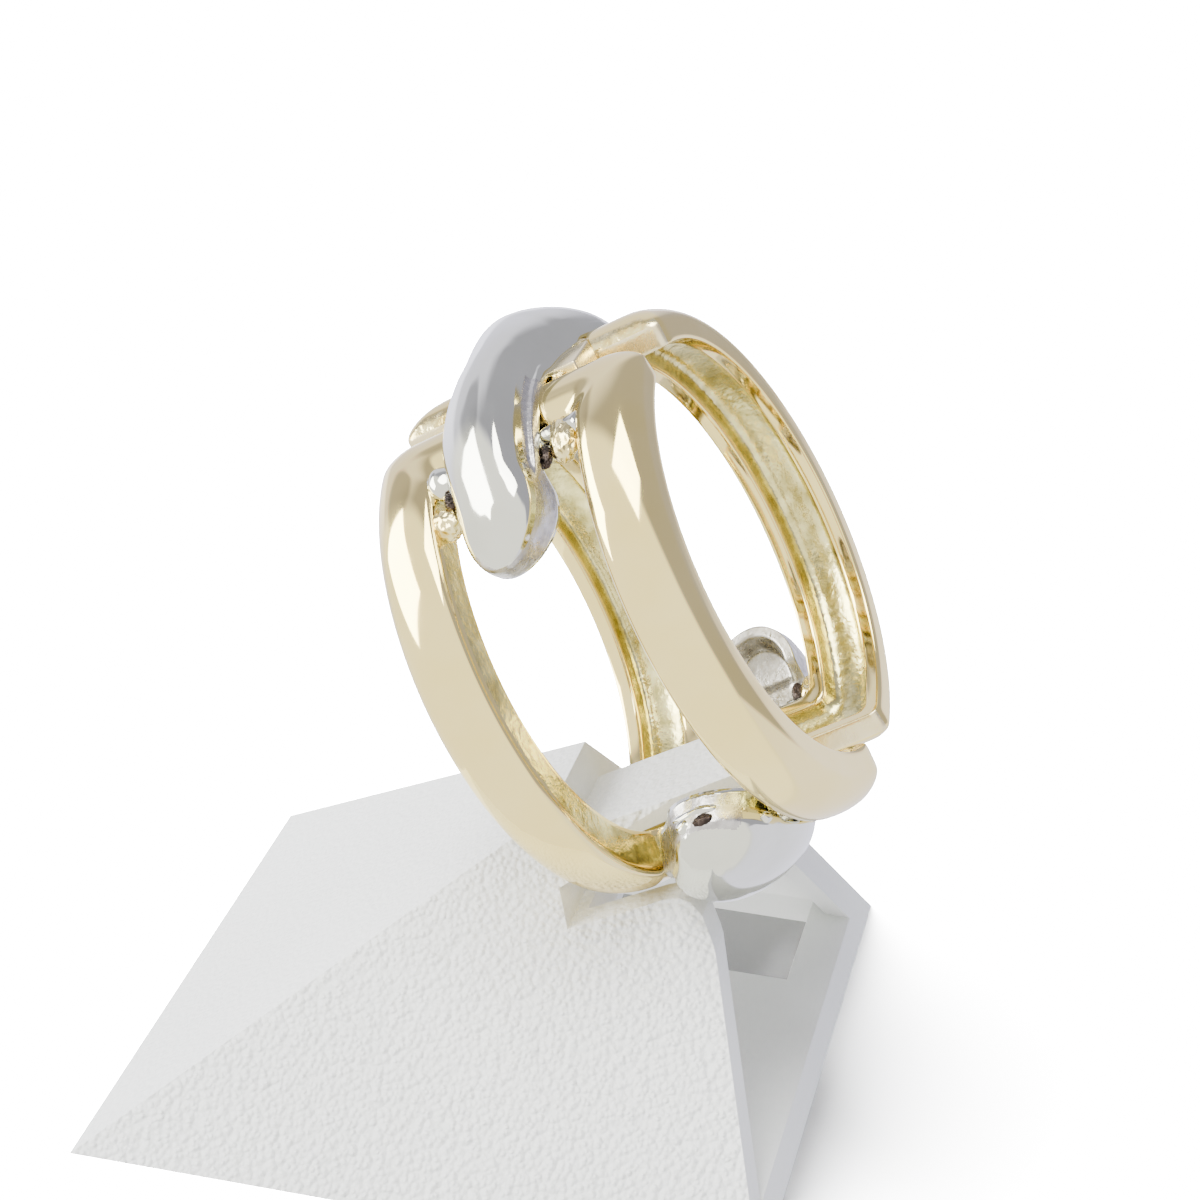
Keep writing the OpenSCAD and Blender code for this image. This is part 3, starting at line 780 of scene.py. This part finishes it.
def room_part(toward, low, high, start, end):
    """A level of light that rises from low to high towards a direction."""
    near = world_nodes.new("ShaderNodeVectorMath")
    near.operation = "DOT_PRODUCT"
    near.inputs[1].default_value = toward
    world_links.new(way, near.inputs[0])
    part = spread(world_nodes, world_links, near.outputs["Value"], low, high, start, end)
    part.node.interpolation_type = "SMOOTHSTEP"
    return part


def combine(operation, first, second):
    node = world_nodes.new("ShaderNodeMath")
    node.operation = operation
    world_links.new(first, node.inputs[0])
    world_links.new(second, node.inputs[1])
    return node.outputs["Value"]


cloth = room_part(FRONT_WAY, BACK_LEVEL, FRONT_LEVEL, *CLOTH_EDGE)
table = room_part((0, 0, -1), 0.0, LOW_LEVEL, *TABLE_EDGE)
glow = room_part(GLOW_WAY, 0.0, GLOW_LEVEL, *GLOW_EDGE)
curtain = room_part(CURTAIN_WAY, 1.0, CURTAIN_SHARE, *CURTAIN_EDGE)
level = combine("MULTIPLY", combine("ADD", combine("MAXIMUM", cloth, table), glow), curtain)
tint = blend_colours(world_nodes, world_links, room_part(FRONT_WAY, 0.0, 1.0, *CLOTH_EDGE),
                     BACK_COLOUR, FRONT_COLOUR)
world_links.new(tint, world_nodes["Background"].inputs["Color"])
world_links.new(level, world_nodes["Background"].inputs["Strength"])
print("room:", len(world_nodes), "nodes, levels", BACK_LEVEL, "to", FRONT_LEVEL)

# %% [markdown]
# Two soft lamps give the bright streaks on the domes: one at the left, low and near, and one high
# above the front. A lamp's streak has the lamp's own outline, so both are plain rectangles.

# %% Lamps
LAMPS = [  # name, place, target, size in metres, radiance
    ("left_softbox", (-0.35, -0.065, 0.095), (0, -0.065, 0.095), (0.28, 0.19), 16),
    ("overhead_softbox", (-0.12, -0.16, 0.56), (0, 0, 0), (0.36, 0.36), 14),
]


def soft_light(name, place, target, size, radiance, in_reflections=True):
    """A rectangular lamp that is as bright as given, whatever its size."""
    data = bpy.data.lights.new(name, "AREA")
    data.shape = "RECTANGLE"
    data.size, data.size_y = size
    data.energy = radiance * math.pi * size[0] * size[1]
    light = bpy.data.objects.new(name, data)
    light.location = place
    light.rotation_euler = (Vector(target) - Vector(place)).to_track_quat("-Z", "Y").to_euler()
    light.visible_glossy = in_reflections
    bpy.context.scene.collection.objects.link(light)
    return light


for lamp in LAMPS:
    soft_light(*lamp)
print("lamps:", [light.name for light in bpy.data.lights])

# %% [markdown]
# The photograph has a pure white ground under an evenly lit ring. In a studio the ground gets
# lamps of its own, and the metal is kept from mirroring it. One lamp would leave a dark side, so
# two lamps shine on the floor alone. The floor stays out of reflections and bounced light, and
# the metal mirrors the tent's pale table instead.

# %% Light of the ground
GROUND_RADIANCE, GROUND_LAMP_SIZE = 450, (0.5, 0.5)
GROUND_LAMPS = [  # name and place
    ("ground_lamp_back", (-0.40, 0.25, 0.42)),
    ("ground_lamp_front", (-0.42, -0.30, 0.30)),
]
ground = bpy.data.collections.new("ground")
ground.objects.link(floor)
for name, place in GROUND_LAMPS:
    ground_lamp = soft_light(name, place, (0, 0, 0), GROUND_LAMP_SIZE, GROUND_RADIANCE, False)
    ground_lamp.light_linking.receiver_collection = ground
floor.visible_glossy = False
floor.visible_diffuse = False
